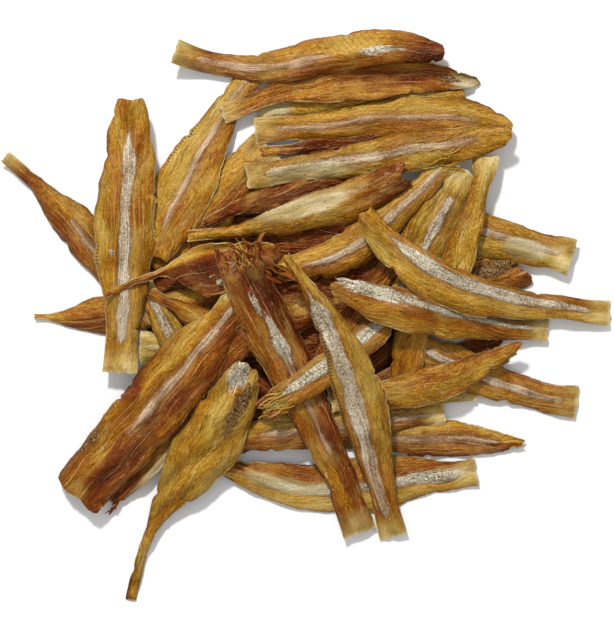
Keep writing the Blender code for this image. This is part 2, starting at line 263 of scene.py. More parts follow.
TOP_FISH = (
    Fish("upper_leaf", (-17.5, 62.8), (68.2, 62), (0.55, 0.48), (0.66, 0.5), 1.7, bow=4.6, sway=-1.6,
         belly=15, stub=9, snout=5, belly_at=0.72, point=0, folds=(-16, -12), shine=(0.15, 0.1), torn=0.1,
         head_up=3),
    Fish("lower_leaf", (-20.2, 47.5), (68, 61.6), (0.5, 0.56), (0.75, 0.75), 3, belly=14.5, stub=8.7,
         folds=(-18, -14), split=0.46, shine=(0.5, 0.1), head_up=3, marks=(Mark("pores", 43, -1, 22, 1),
         Mark("skin", 20, -2.4, 34, 6))),
    Fish("curled_gutter", (-28.5, 68.5), (58.2, 79.5), (0.52, 0.5), (0.45, 0.4), 0, bow=6.4, belly=17,
         stub=7, snout=5, point=1.3, folds=(58, 46), flat_to=0.5, split=0.44,
         marks=(Mark("maroon", 58, 0, 36, 8), Mark("crumbs", 77, -0.6, 8, 3.4),
         Mark("skin", 82, 0, 10, 7))),
    Fish("crosswise_top", (-44.2, 89.2), (45.8, 88.9), (0.47, 0.38), (0.52, 0.4), 2.6, bow=-2.9, sway=-3,
         belly=14.8, stub=8.4, folds=(-12, -24), split=0.51, shine=(0.2, 0.1), span=(0.07, 0.6),
         torn=0.03, crumple=0.4, tail_up=8, marks=(Mark("gold", 57, 3.8, 38, 10),
         Mark("ribs", 57, 3.8, 34, 9), Mark("silver", 69, -0.4, 16, 2.6),
         Mark("maroon", 86, -1, 16, 11))),
    Fish("grey_silver", (-39.8, 27.5), (34, 48), (0.54, 0.48), (0.6, 0.42), 0, bow=-3.8, belly=14, stub=4,
         snout=9, folds=(-12, -24), torn=0.5, marks=(Mark("skin", 41, 3, 38, 7),
         Mark("gold", 43, -3.8, 12, 4), Mark("maroon", 70, 0, 18, 15))),
    Fish("broad_diagonal", (17.6, -72), (-25.2, 25.5), (0.45, 0.36), (0.45, 0.25), 1.7, bow=-1, sway=-1,
         belly=17.5, stub=11.4, snout=10, belly_at=0.7, folds=(-14, -16), shine=(0, 0.1),
         span=(0.25, 0.78), torn=0.9, crumple=0.7, marks=(Mark("maroon", 96, -3, 36, 14),
         Mark("silver", 70, -1, 18, 3.2), Mark("silver", 84, 0.6, 9, 2))),
    Fish("silver_underpass", (40.8, 16.2), (-16.5, -31.2), (0.52, 0.48), (0.62, 0.6), 3.6, bow=3,
         sway=0.5, belly=11, snout=7, split=0.62, shine=(1, 1), torn=0.8),
    Fish("amber_rising", (14, -26), (71.8, -8.4), (0.46, 0.52), (0.45, 0.52), 0, bow=-4, belly=13, stub=9,
         snout=3, belly_at=0.4, point=1, folds=(-22, -14), torn=0.4, head_up=3),
    Fish("silver_belly", (80.8, -4.5), (8.2, 12.8), (0.48, 0.4), (0.6, 0.3), 1.9, bow=1.5, belly=14.5,
         stub=7.5, snout=3, folds=(-16, -30), split=0.72, thins=0.9, shine=(1, 1), span=(0.06, 0.98),
         marks=(Mark("silver", 60, -0.6, 26, 4.6),)),
    Fish("long_silver", (101.6, 1.7), (19.5, 36.2), (0.53, 0.5), (0.72, 0.62), 3.8, bow=9.6, sway=-1.5,
         belly=14.5, stub=8.3, snout=5, folds=(-14, -26), flat_to=0.5, split=0.71, thins=0.5,
         shine=(0.6, 1), torn=0.05),
    Fish("long_upright", (29.2, -73.2), (-7.8, 20.8), (0.46, 0.54), (0.58, 0.72), 4.9, bow=-4.4, sway=1.3,
         belly=17, stub=9.5, snout=4.5, belly_at=0.45, point=1.8, folds=(-34, -12), split=0.36, thins=0.5,
         shine=(0.2, 0.95), span=(0.06, 0.88), torn=0.1, marks=(Mark("pores", 52, 1, 60, 1),)),
)


class Tuft(NamedTuple):
    """Loose strips about one place: where they start, in mm, and where they point to.

    reach is how far from the place they start, turn and fan are their heading and how
    much it varies, in degrees, and longest and widest are in mm.
    """

    place: tuple
    reach: float
    turn: float
    fan: float
    count: int
    longest: float
    widest: float
    tone: float
    hue: float


SHREDS = (
    # Straw-like fibres of torn flesh
    Tuft((-20, 19), 4, 120, 50, 24, 5, 0.4, 0.6, 0.6),
    Tuft((-7, -27), 4, 205, 18, 32, 8, 0.5, 0.62, 0.75),
    Tuft((44, 53.5), 7, 15, 14, 18, 7, 0.4, 0.6, 0.7),
    # Dark scraps
    Tuft((-19, 20), 5, 110, 60, 18, 6, 1.6, 0.42, 0.15),
    Tuft((-12, 17), 4, 320, 30, 12, 6, 1.2, 0.42, 0.15),
    Tuft((-65, -61), 3, 235, 35, 12, 4, 1, 0.38, 0.1),
)
# Flakes of silver skin set where glints show: their bright silver is partly a painted highlight
SILVER_GLINT_FLAKES = (
    Tuft((-30, 14.5), 6, 30, 40, 5, 3, 1.2, 0.5, 0.5),
)


def linear(code):
    """A colour given as sRGB hex, as linear red, green, blue and alpha."""
    parts = [int(code[i : i + 2], 16) / 255 for i in (1, 3, 5)]
    return (*(p / 12.92 if p <= 0.04045 else ((p + 0.055) / 1.055) ** 2.4 for p in parts), 1.0)


class HeapSizes(bpy.types.PropertyGroup):
    """Sizes of the fish and of the core, in mm."""

    leaf_thickness: FloatProperty(
        name="Flesh thickness", description="Thickness of a fish beside its stripe, in mm",
        default=1.35, min=0.5, max=4.0,
    )
    rim_share: FloatProperty(
        name="Rim share", description="Thickness at the edge, as a share of the flesh",
        default=0.22, subtype="FACTOR", min=0.05, max=1.0,
    )
    mesh_step: FloatProperty(
        name="Mesh step", description="Length of one face along and across a fish, in mm",
        default=0.55, min=0.3, max=4.0,
    )
    sinking_share: FloatProperty(
        name="Sinking", description="Share of the room under a fish that it sinks into",
        default=0.42, subtype="FACTOR", min=0.0, max=1.0,
    )
    bite: FloatProperty(
        name="Settling", description="How far fish press into what they lie on, in mm",
        default=0.5, min=0.0, max=1.0,
    )
    core_height: FloatProperty(
        name="Core height", description="Height of the hidden core, in mm",
        default=4.5, min=1.0, max=15.0,
    )
    seed: IntProperty(name="Seed", description="Seed of all random draws", default=LAYOUT_SEED)


class StageSettings(bpy.types.PropertyGroup):
    """The floor, the lights and the camera."""

    camera_height: FloatProperty(
        name="Camera height", description="Height of the camera over the floor",
        default=0.9, unit="LENGTH", min=0.3, max=5.0,
    )
    picture_scale: FloatProperty(
        name="Picture scale", description="Length that one pixel of the picture shows, in mm",
        default=1 / 3, min=0.05, max=5.0,
    )
    key_energy: FloatProperty(
        name="Key light", description="Strength of the softbox that draws the shadows",
        default=18.0, min=0.0, max=500.0,
    )
    sky: FloatProperty(
        name="Room light", description="Strength of the even light all round",
        default=0.62, min=0.0, max=5.0,
    )
    floor_colour: FloatVectorProperty(
        name="Floor", description="Colour of the floor", subtype="COLOR", size=4,
        default=(0.9, 0.9, 0.9, 1.0), min=0.0, max=1.0,
    )


def smooth_step(share):
    """A soft rise from 0 to 1 as share goes from 0 to 1."""
    share = np.clip(share, 0.0, 1.0)
    return share * share * (3.0 - 2.0 * share)


def ripples(draw, along, across, long_pitch, cross_pitch, count=6):
    """Soft random relief about 1 high, with its pitch along and across given in mm."""
    total = 0.0
    for _ in range(count):
        turns = along * draw.uniform(-1.5, 1.5) / long_pitch
        turns = turns + across * draw.choice((-1, 1)) * draw.uniform(0.6, 1.5) / cross_pitch
        total = total + np.sin(math.tau * (turns + draw.random()))
    return total / math.sqrt(count)


def pleats(draw, along, across, long_pitch, cross_pitch):
    """Sharp ridges up to 1 high between broad hollows, with their pitch given in mm."""
    return (1.0 - np.abs(np.clip(ripples(draw, along, across, long_pitch, cross_pitch, 4), -1, 1))) ** 3


def middle_line(fish, along):
    """Places on the middle line seen from above, and the unit vectors to its left."""
    tail, head = np.array(fish.tail, float), np.array(fish.head, float)
    run = head - tail
    left = np.array((-run[1], run[0])) / np.linalg.norm(run)
    aside = fish.bow * 4.0 * along * (1.0 - along) + fish.sway * np.sin(math.tau * along)
    turn = fish.bow * 4.0 * (1.0 - 2.0 * along) + fish.sway * math.tau * np.cos(math.tau * along)
    points = tail + along[..., None] * run + aside[..., None] * left
    tangent = run + turn[..., None] * left
    tangent /= np.linalg.norm(tangent, axis=-1)[..., None]
    return points, np.stack((-tangent[..., 1], tangent[..., 0]), axis=-1)


def half_width(fish, along):
    """Half the width: the tail stub narrows, the belly swells and the head end closes in."""
    neck = fish.stub * fish.neck
    stub = neck + (fish.stub - neck) * (1.0 - smooth_step(along / fish.neck_at))
    swell = smooth_step((along - fish.neck_at) / (fish.belly_at - fish.neck_at))
    body = stub + (fish.belly - neck) * swell
    past = np.clip((along - fish.belly_at) / (1.0 - fish.belly_at), 0.0, 1.0)
    rounded = 1.0 - np.sqrt(1.0 - past**2)
    close_in = rounded + (past**1.5 - rounded) * fish.point
    return (body + (fish.snout - fish.belly) * close_in) / 2.0


def stripe_half_width(fish, along):
    """Half the width of the silver stripe, which fades out at both its ends."""
    start, end = fish.span
    fade = smooth_step((along - start) / STRIPE_FADE) * smooth_step((end - along) / 0.12)
    return fish.stripe / 2.0 * fade * (fish.thins + (1.1 - fish.thins) * smooth_step(along / fish.belly_at))


class Leaf:
    """One fish as a grid of places: rows run from tail to head, columns from right to left."""

    def __init__(self, fish, sizes, draw):
        self.fish = fish
        self.length = math.dist(fish.tail, fish.head)
        self.rows = max(12, round(self.length / sizes.mesh_step))
        self.columns = 2 * max(4, round(fish.belly / sizes.mesh_step / 2))
        u = np.linspace(0.0, 1.0, self.rows + 1)[:, None]
        v = np.linspace(-1.0, 1.0, self.columns + 1)[None, :]
        self.share = self.with_torn_ends(u, v, draw)
        self.along = self.share * self.length
        self.shape_section(v, sizes, draw)
        self.place_points(v, draw)
        self.note_looks(draw)

    def with_torn_ends(self, u, v, draw):
        """The share of the length at each point: the cut is uneven, the head end ragged."""
        across = v * self.fish.belly / 2
        tail = 0.25 * ripples(draw, 0.0, across, 1.0, 7.0) + 0.06 * ripples(draw, 0.0, across, 1.0, 1.6)
        rag = 0.8 + ripples(draw, 0.0, across, 1.0, 16.0)
        rag = rag + 0.5 * self.fish.torn * np.abs(ripples(draw, 0.0, across, 1.0, 4.0))
        head = (0.3 + 2.4 * self.fish.torn) * rag
        near_tail = np.clip(1.0 - u * self.length / CUT_REACH, 0.0, 1.0) * tail / self.length
        near_head = np.clip(1.0 - (1.0 - u) * self.length / TORN_REACH, 0.0, 1.0) * head / self.length
        return np.clip(u + near_tail - near_head, -0.02, 1.0)

    def notches(self, draw):
        """Depth of the few small tears in one edge, in mm."""
        depth = np.zeros_like(self.along)
        for _ in range(round(self.length / TEAR_SPACING)):
            place, width = draw.uniform(0.1, 1.0) * self.length, draw.uniform(0.4, 1.5)
            tear = draw.uniform(0.2, 1.2) * np.exp(-(((self.along - place) / width) ** 2))
            depth = np.maximum(depth, tear)
        return depth

    def shape_section(self, v, sizes, draw):
        """Folds each row: the flat stripe in the middle, then the lobes down to their edges."""
        fish, along = self.fish, self.along
        half = half_width(fish, np.clip(self.share, 0.0, 1.0))
        side = np.where(v >= 0.0, 2.0 * fish.split, 2.0 * (1.0 - fish.split))
        body = smooth_step(self.share / fish.flat_to)
        side = 1.0 + (side - 1.0) * body
        noise = 0.035 * ripples(draw, along, 0.0, 20.0, 1.0, 3) * np.sign(v)
        tears = np.where(v >= 0.0, self.notches(draw), self.notches(draw))
        rough = 0.08 * ripples(draw, along, np.sign(v), 1.7, 3.0)
        rough = rough + 0.12 * ripples(draw, along, np.sign(v), 5.5, 3.0)
        width = np.maximum(half * side * (1.0 + noise) + (rough - tears) * body, 0.4)
        self.reach_flat = np.abs(v) * width
        self.side_rim = width - self.reach_flat
        stripe = stripe_half_width(fish, self.share)
        stripe = stripe * (1.0 + 0.14 * ripples(draw, along, 0.0, 15.0, 1.0, 3))
        self.stripe = np.where(stripe > 0.05, stripe - self.reach_flat, NO_STRIPE)
        fold = np.radians(np.where(v >= 0.0, *fish.folds)) * body
        fold = fold * (1.0 + 0.4 * ripples(draw, along, 0.0, 34.0, 1.0, 3))
        outer = np.clip((self.reach_flat - stripe) / np.maximum(width - stripe, 0.5), 0, 1)
        bend = 0.55 * smooth_step((self.reach_flat - stripe) / CREASE_WIDTH) + 1.15 * outer**1.6
        self.reach, rise = self.roll_out(bend * fold)
        self.reach = self.reach * np.sign(v)
        dents = (0.22 + 0.35 * fish.crumple) * ripples(draw, along, self.reach, 22.0, 9.0)
        ruffle = 0.35 * outer**3 * ripples(draw, along, 0.0, 12.0, 1.0)
        near_head = smooth_step((self.share - 0.84) / 0.16)
        shreds = 0.55 * fish.torn * near_head * ripples(draw, along, self.reach, 6.0, 3.0)
        self.rise = rise + dents + ruffle + shreds
        end_rim = np.minimum(along, self.length - along) + 0.4
        self.rim = np.clip(np.minimum(self.side_rim, end_rim), 0.0, None)
        body = sizes.rim_share + (1.0 - sizes.rim_share) * smooth_step(self.rim / RIM_WIDTH) ** 0.7
        self.thickness = np.clip(body, sizes.rim_share, 1.0)

    def roll_out(self, angle):
        """Runs outwards from the middle line and adds up each step's way out and up."""
        middle = self.columns // 2
        out, rise = np.zeros_like(self.reach_flat), np.zeros_like(self.reach_flat)
        for direction in (1, -1):
            for step in range(1, middle + 1):
                here = middle + direction * step
                before = here - direction
                move = self.reach_flat[:, here] - self.reach_flat[:, before]
                turn = (angle[:, here] + angle[:, before]) / 2
                out[:, here] = out[:, before] + move * np.cos(turn)
                rise[:, here] = rise[:, before] + move * np.sin(turn)
        return out, rise

    def place_points(self, v, draw):
        """Sets x and y of each point, and curves the two ends up."""
        start = np.clip(1.0 - self.share / END_CURVE_SHARE, 0.0, 1.0) ** 2
        end = np.clip((self.share - 1.0) / END_CURVE_SHARE + 1.0, 0.0, 1.0) ** 2
        self.rise = self.rise + self.fish.tail_up * start + self.fish.head_up * end
        points, left = middle_line(self.fish, self.share)
        points = points + left * 0.25 * ripples(draw, self.along, 0.0, 26.0, 1.0, 3)[..., None]
        self.x = points[..., 0] + self.reach * left[..., 0]
        self.y = points[..., 1] + self.reach * left[..., 1]
        self.across = self.reach_flat * np.sign(v)

    def mask(self, kind):
        """Where a kind of mark lies on this fish: 1 in its middle, 0 well outside."""
        total = np.zeros_like(self.along)
        for mark in self.fish.marks:
            if mark.kind != kind:
                continue
            aside = (self.across - mark.across) / (mark.width / 2)
            if kind == "pores":
                aside = np.where(self.across * mark.across > 0.0, 0.0, math.inf)
            away = np.hypot((self.along - mark.along) / (mark.length / 2), aside)
            total = np.maximum(total, np.clip(1.6 - 1.1 * away, 0.0, 1.0))
        return total

    def note_looks(self, draw):
        """Notes what the material reads: tone, hue, shine and the marks."""
        fish, along, across = self.fish, self.along, self.across
        left = smooth_step(0.5 + across / 1.2)
        near_head = smooth_step((self.share - 0.7) / 0.3) * fish.torn
        spot = draw.uniform(3.0, 4.5), draw.uniform(-1.0, 1.0) * fish.stub * 0.2
        away = np.hypot((along - spot[0]) / 1.8, (across - spot[1]) / 1.4)
        gold = np.maximum(self.mask("gold"), np.clip(1.4 - away, 0.0, 0.9))
        maroon = self.mask("maroon")
        tone = fish.tones[1] + (fish.tones[0] - fish.tones[1]) * left
        tone = tone + 0.05 * ripples(draw, along, across, 30.0, 11.0) - 0.1 * near_head
        self.tone = tone - 0.03 + 0.12 * gold - 0.15 * maroon
        hue = fish.hues[1] + (fish.hues[0] - fish.hues[1]) * left
        hue = hue + 0.06 * ripples(draw, along, across, 34.0, 13.0) - 0.25 * near_head
        self.hue = (hue + (0.62 - hue) * 0.8 * gold) * (1.0 - 0.85 * maroon)
        self.shine = fish.shine[0] + (fish.shine[1] - fish.shine[0]) * self.share
        kinds = ("skin", "silver", "crumbs", "pores", "ribs")
        self.skin, self.silver, self.crumbs, self.pores, self.ribs = map(self.mask, kinds)
        self.from_cut = along if fish.stub > 4.0 else along + NO_CUT
        self.torn = min(1.0, 1.4 * fish.torn) * smooth_step((self.share - 0.97 + 0.14 * fish.torn) / 0.1)

    def relief(self, draw):
        """Fine relief of one face, in mm: fibres, pleats, the raised stripe, the tail's rays."""
        along, across = self.along, self.across
        fibres = 0.02 * ripples(draw, along, across, 20.0, 1.6, 6)
        fibres = fibres + 0.02 * ripples(draw, along, across, 5.0, 3.0, 8)
        crinkled = 0.45 + 0.8 * smooth_step(1.3 - 2.6 * self.hue) + 1.3 * self.fish.crumple
        folds = 0.22 * pleats(draw, along, across, 26.0, 9.0) + 0.12 * pleats(draw, along, across, 8.0, 4.0)
        folds = folds * crinkled * smooth_step(-self.stripe / 0.8) * smooth_step(along / CUT_REACH)
        raised = 0.28 * smooth_step((self.stripe + 0.3) / 1.1)
        groove = 0.07 * np.exp(-((self.stripe + 0.5) ** 2) / 0.12)
        rays = np.clip(1.0 - along / 3.0, 0.0, 1.0) * 0.02 * ripples(draw, 0.0, across, 1.0, 1.2)
        rough = (0.14 * self.torn + 0.16 * self.crumbs) * ripples(draw, along, across, 2.0, 1.3, 8)
        return fibres + folds + raised - groove + rays + rough


class Ground:
    """Height of everything laid down so far, in square cells seen from above."""

    def __init__(self, core_height):
        count = int(2 * HALF_FIELD / CELL)
        centres = (np.arange(count) + 0.5) * CELL - HALF_FIELD
        x, y = np.meshgrid(centres, centres, indexing="ij")
        self.height = np.maximum(FLOOR_CLEARANCE, core_rise(x, y) * core_height)

    @staticmethod
    def cells(x, y):
        """The cells that hold these points."""
        return tuple(((p + HALF_FIELD) / CELL).astype(int) for p in (x, y))

    def under(self, x, y):
        """Height of the ground under these points."""
        return self.height[self.cells(x, y)]

    def cover(self, x, y, top):
        """Raises the ground to a leaf's upper side, read twice as finely as its points."""
        fine = [twice_as_fine(values) for values in (x, y, top)]
        np.maximum.at(self.height, self.cells(fine[0], fine[1]), fine[2])


def core_rise(x, y):
    """Height of the core at a place, as a share of its full height."""
    away = np.hypot((x - CORE_CENTRE[0]) / CORE_FOOT[0], (y - CORE_CENTRE[1]) / CORE_FOOT[1])
    return np.clip((1.0 - away) / CORE_SLOPE, 0.0, 1.0)


def twice_as_fine(values):
    """A grid with a new value halfway between each two."""
    for _ in range(2):
        rows = np.empty((2 * values.shape[0] - 1, values.shape[1]))
        rows[::2] = values
        rows[1::2] = (values[1:] + values[:-1]) / 2
        values = rows.T
    return values


def smoothed(values, passes):
    """Values eased along a row, its ends kept."""
    for _ in range(passes):
        padded = np.concatenate((values[:1], values, values[-1:]))
        values = (padded[:-2] + 2 * padded[1:-1] + padded[2:]) / 4
    return values


def eased(values, reach=4, passes=12):
    """The highest value within reach of each, smoothed, so that no bump leaves a crease."""
    padded = np.pad(values, reach, mode="edge")
    highest = np.max([padded[i : i + len(values)] for i in range(2 * reach + 1)], axis=0)
    return smoothed(highest, passes)


def support_line(along, need, balance):
    """Height of a stiff strip that rests on the two highest supports beside its balance."""
    behind, ahead = along <= balance, along > balance
    x0, z0 = along[behind][:, None], need[behind][:, None]
    x1, z1 = along[ahead][None, :], need[ahead][None, :]
    slope = (z1 - z0) / (x1 - x0)
    at_balance = z0 + slope * (balance - x0)
    i, j = np.unravel_index(np.argmax(at_balance), at_balance.shape)
    return at_balance[i, j] + slope[i, j] * (along - balance)


def lay_down(leaf, ground, sizes):
    """Rests one leaf on the ground, raises the ground by it and returns its heights."""
    half = sizes.leaf_thickness / 2 * leaf.thickness
    below = ground.under(leaf.x, leaf.y)
    slant = np.sum(below * leaf.reach) / np.sum(leaf.reach**2)
    lean = np.clip(LEAN_SHARE * math.degrees(math.atan(slant)), -MOST_LEAN, MOST_LEAN)
    rise = leaf.rise + leaf.reach * math.tan(math.radians(lean))
    need = eased(np.max(below + half - rise, axis=1))
    along = np.linspace(0.0, 1.0, leaf.rows + 1)
    balance = max(0.35, leaf.fish.belly_at - 0.08)
    line = support_line(along, need, balance)
    room = np.clip(line - need, 0.0, None)
    middle = np.maximum(line - sizes.sinking_share * smoothed(room, 30), need)
    middle = smoothed(middle, 20)
    height = np.maximum(middle[:, None] + rise - sizes.bite, FLOOR_CLEARANCE + half)
    ground.cover(leaf.x, leaf.y, height + half)
    return height


def finish_piece(piece, material):
    """Gives a piece its material and its body, and hides the solid that it stands for."""
    piece.data.materials.clear()
    piece.data.materials.append(material)
    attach(piece, BODY)
    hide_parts(HEAP_NODE)


def add_grid(name, x, y, z):
    """Adds a grid whose points lie at these places of the layout, in mm."""
    bpy.ops.object.select_all(action="DESELECT")
    bpy.ops.mesh.primitive_grid_add(x_subdivisions=x.shape[0] - 1, y_subdivisions=x.shape[1] - 1)
    piece = bpy.context.object
    piece.name = piece.data.name = name
    places = [grid.T.ravel() * MM for grid in (x - MIDDLE[0], y - MIDDLE[1], z)]
    piece.data.vertices.foreach_set("co", np.stack(places, axis=1).ravel())
    return piece


def store(mesh, **looks):
    """Stores what the material reads at a grid's points: three values or grids for each name."""
    shape = looks["place"][0].shape
    for name, values in looks.items():
        columns = [np.broadcast_to(value, shape).T.ravel() for value in values]
        attribute = mesh.attributes.new(name, "FLOAT_VECTOR", "POINT")
        attribute.data.foreach_set("vector", np.stack(columns, axis=1).ravel())


def thicken(piece, thickness, group=""):
    """Gives a sheet its thickness in mm, scaled by a vertex group if there is one."""
    wall = piece.modifiers.new("Flesh", "SOLIDIFY")
    wall.thickness = thickness * MM
    wall.offset = 0.0
    wall.vertex_group = group
    wall.thickness_vertex_group = 0.0
    bpy.ops.object.modifier_apply(modifier=wall.name)


def close_up(piece):
    """Points a finished shell's faces outwards and shades it smooth."""
    bpy.ops.object.mode_set(mode="EDIT")
    bpy.ops.mesh.select_all(action="SELECT")
    bpy.ops.mesh.normals_make_consistent(inside=False)
    bpy.ops.object.mode_set(mode="OBJECT")
    bpy.ops.object.shade_smooth_by_angle(angle=math.radians(50))


def model_fish(leaf, height, sizes, draw, number):
    """Models one fish: a grid is moved into place, thickened, and given its fine relief."""
    piece = add_grid(leaf.fish.name, leaf.x, leaf.y, height)
    mesh = piece.data
    store(
        mesh,
        place=(leaf.along, leaf.across, FISH_SHIFT * number),
        zones=(leaf.stripe, leaf.from_cut, leaf.torn),
        edges=(leaf.side_rim, leaf.pores, leaf.ribs),
        finish=(leaf.shine, leaf.tone, leaf.hue),
        marks=(leaf.skin, leaf.silver, leaf.crumbs),
    )
    group = piece.vertex_groups.new(name="thickness")
    for index, weight in enumerate(leaf.thickness.T.ravel()):
        group.add([index], float(weight), "REPLACE")
    thicken(piece, sizes.leaf_thickness, group.name)
    carve(mesh, leaf, draw)
    piece.vertex_groups.clear()
    close_up(piece)
    return piece


def carve(mesh, leaf, draw):
    """Moves both faces of a thickened leaf along their normals by their fine relief."""
    count = len(mesh.vertices)
    places, normals = np.empty(count * 3), np.empty(count * 3)
    mesh.vertices.foreach_get("co", places)
    mesh.vertex_normals.foreach_get("vector", normals)
    fade = smooth_step(leaf.rim / 0.9)
    depth = [(leaf.relief(draw) * fade).T.ravel() * MM for _ in range(2)]
    places = places.reshape(-1, 3) + normals.reshape(-1, 3) * np.concatenate(depth)[:, None]
    places[:, 2] = np.maximum(places[:, 2], 0.05 * MM)
    mesh.vertices.foreach_set("co", places.ravel())
    mesh.update()


def strip_line(tuft, ground, draw):
    """One loose strip as its middle line, the way to its left edge, and its heights in mm."""
    length, width = (draw.uniform(0.35, 1.0) * most for most in (tuft.longest, tuft.widest))
    away, round_about = tuft.reach * math.sqrt(draw.random()), draw.uniform(0.0, math.tau)
    share = np.linspace(0.0, 1.0, STRIP_ROWS + 1)
    heading = math.radians(tuft.turn + draw.uniform(-1.0, 1.0) * tuft.fan)
    heading = heading + draw.uniform(-1.0, 1.0) * (share - 0.5)
    x = tuft.place[0] + away * math.cos(round_about) + np.cumsum(np.cos(heading)) * length / STRIP_ROWS
    y = tuft.place[1] + away * math.sin(round_about) + np.cumsum(np.sin(heading)) * length / STRIP_ROWS
    half = width / 2 * np.sin(math.pi * (0.08 + 0.86 * share)) ** 0.6
    left = np.stack((-np.sin(heading) * half, np.cos(heading) * half, draw.uniform(-0.8, 0.8) * half))
    rise = 0.1 + draw.uniform(0.0, 0.16) * length * share**2
    floor, fall = eased(ground.under(x, y), 1, 2), STRIP_FALL * length * share
    ahead = np.maximum.accumulate(floor + fall) - fall
    behind = np.maximum.accumulate((floor - fall)[::-1])[::-1] + fall
    z = np.maximum(np.maximum(ahead, behind) + rise, 1.0)
    return x, y, z, left, share * length


def model_strips(name, tufts, ground, draw):
    """Models loose strips: a grid with every second column of faces cut out, made thick."""
    lines = [(tuft, *strip_line(tuft, ground, draw)) for tuft in tufts for _ in range(tuft.count)]
    sides = [(line, side) for line in lines for side in (-1.0, 1.0)]
    x, y, z = (
        np.stack([line[1 + i] + side * line[4][i] for line, side in sides], axis=1) for i in range(3)
    )
    piece = add_grid(name, x, y, z)
    mesh = piece.data
    along = np.stack([line[5] for line, _ in sides], axis=1)
    across = [side * line[0].widest / 2 for line, side in sides]
    number = [STRIP_SHIFT * (i // 2) for i in range(len(sides))]
    silver = float(name == "silver_glint_flakes")
    store(
        mesh,
        place=(along, across, number),
        zones=(NO_STRIPE * (1.0 - 2.0 * silver), along + NO_CUT, 0.0),
        edges=(NO_EDGE, 0.0, 0.0),
        finish=(silver, [line[0].tone for line, _ in sides], [line[0].hue for line, _ in sides]),
        marks=(0.0, silver, 0.0),
    )
    bpy.ops.object.mode_set(mode="EDIT")
    bpy.ops.mesh.select_mode(type="FACE")
    bpy.ops.mesh.select_all(action="DESELECT")
    bpy.ops.object.mode_set(mode="OBJECT")
    between = np.arange(len(mesh.polygons)) // STRIP_ROWS % 2 == 1
    mesh.polygons.foreach_set("select", between)
    bpy.ops.object.mode_set(mode="EDIT")
    bpy.ops.mesh.delete(type="FACE")
    bpy.ops.mesh.select_mode(type="VERT")
    bpy.ops.object.mode_set(mode="OBJECT")
    thicken(piece, STRIP_THICKNESS)
    close_up(piece)
    return piece


def connect(tree, node, inputs):
    """Links or sets a node's inputs. A node among the values gives its first output."""
    for key, value in inputs.items():
        if isinstance(value, bpy.types.Node):
            value = value.outputs[0]
        if isinstance(value, bpy.types.NodeSocket):
            tree.links.new(value, node.inputs[key])
        else:
            node.inputs[key].default_value = value


def add_node(tree, kind, *values, stops=(), **settings):
    """Adds a shader node with its settings, colour stops and inputs.

    kind is the node's type and, after a space, its operation. The inputs are given in
    order or as one dict.
    """
    kind, _, operation = kind.partition(" ")
    node = tree.nodes.new("ShaderNode" + kind)
    if operation:
        node.operation = operation
    for key, value in settings.items():
        setattr(node, key, value)
    if stops:
        elements = node.color_ramp.elements
        for place, _ in stops[1:-1]:
            elements.new(place)
        for element, (place, code) in zip(elements, stops, strict=True):
            element.position = place
            element.color = linear(code)
    by_key = values and isinstance(values[0], dict)
    connect(tree, node, values[0] if by_key else dict(enumerate(values)))
    return node


# Each noise's size along and across a fish, in mm, and its detail
NOISES = {
    "crinkle": (2.2, 0.9, 4),
    "fibre": (3.6, 0.42, 2),
    "hair": (22.0, 0.34, 1),
    "streak": (24.0, 4.0, 2),
    "blotch": (9.0, 5.0, 5),
    "tint": (13.0, 6.5, 4),
    "crease": (15.0, 3.0, 3),
    "grain": (0.45, 0.4, 2),
}

# How much each noise moves the flesh between dark and pale
FLESH_NOISES = {"crinkle": 0.26, "fibre": 0.36, "streak": 0.2, "blotch": 0.38, "grain": 0.54}

# Dark, middle, pale and brightest colour of the dried flesh, from red brown to olive
FLESH_PLACES = (0.1, 0.42, 0.6, 0.85)
RED_BROWN = ("#360802", "#702404", "#9A5416", "#C49654")
AMBER = ("#481802", "#864C02", "#B0801C", "#D8BA6C")
OLIVE = ("#3C2602", "#785A08", "#A48A34", "#D0C088")

# Colours of what lies on the flesh, with their places in its pattern
SILVER = ((0.1, "#5A5040"), (0.25, "#968C76"), (0.4, "#B8B09A"), (0.6, "#DED9CA"))
PINKISH = ((0.3, "#6A4A2E"), (0.43, "#96755A"), (0.55, "#BC9E80"), (0.68, "#DECCB4"))
GREY_SKIN = ((0.38, "#847248"), (0.5, "#A6966A"), (0.62, "#C8BC9A"))
STUB = ((0.36, "#94763A"), (0.5, "#B29858"), (0.64, "#D0BC86"))
TORN = ((0.36, "#3A120A"), (0.5, "#7A3016"), (0.66, "#B07A44"))
CRUMBS = ((0.05, "#BCA47C"), (0.3, "#86663E"), (0.6, "#54381E"), (0.9, "#2E190B"))

# Sizes in the patterns, in mm
SCALE_SIZE = 0.8
CRUMB_SIZE = 0.55
SEGMENT_PITCH = 2.0
PORE_PITCH = 1.15
SPECK_PITCH = 1.8


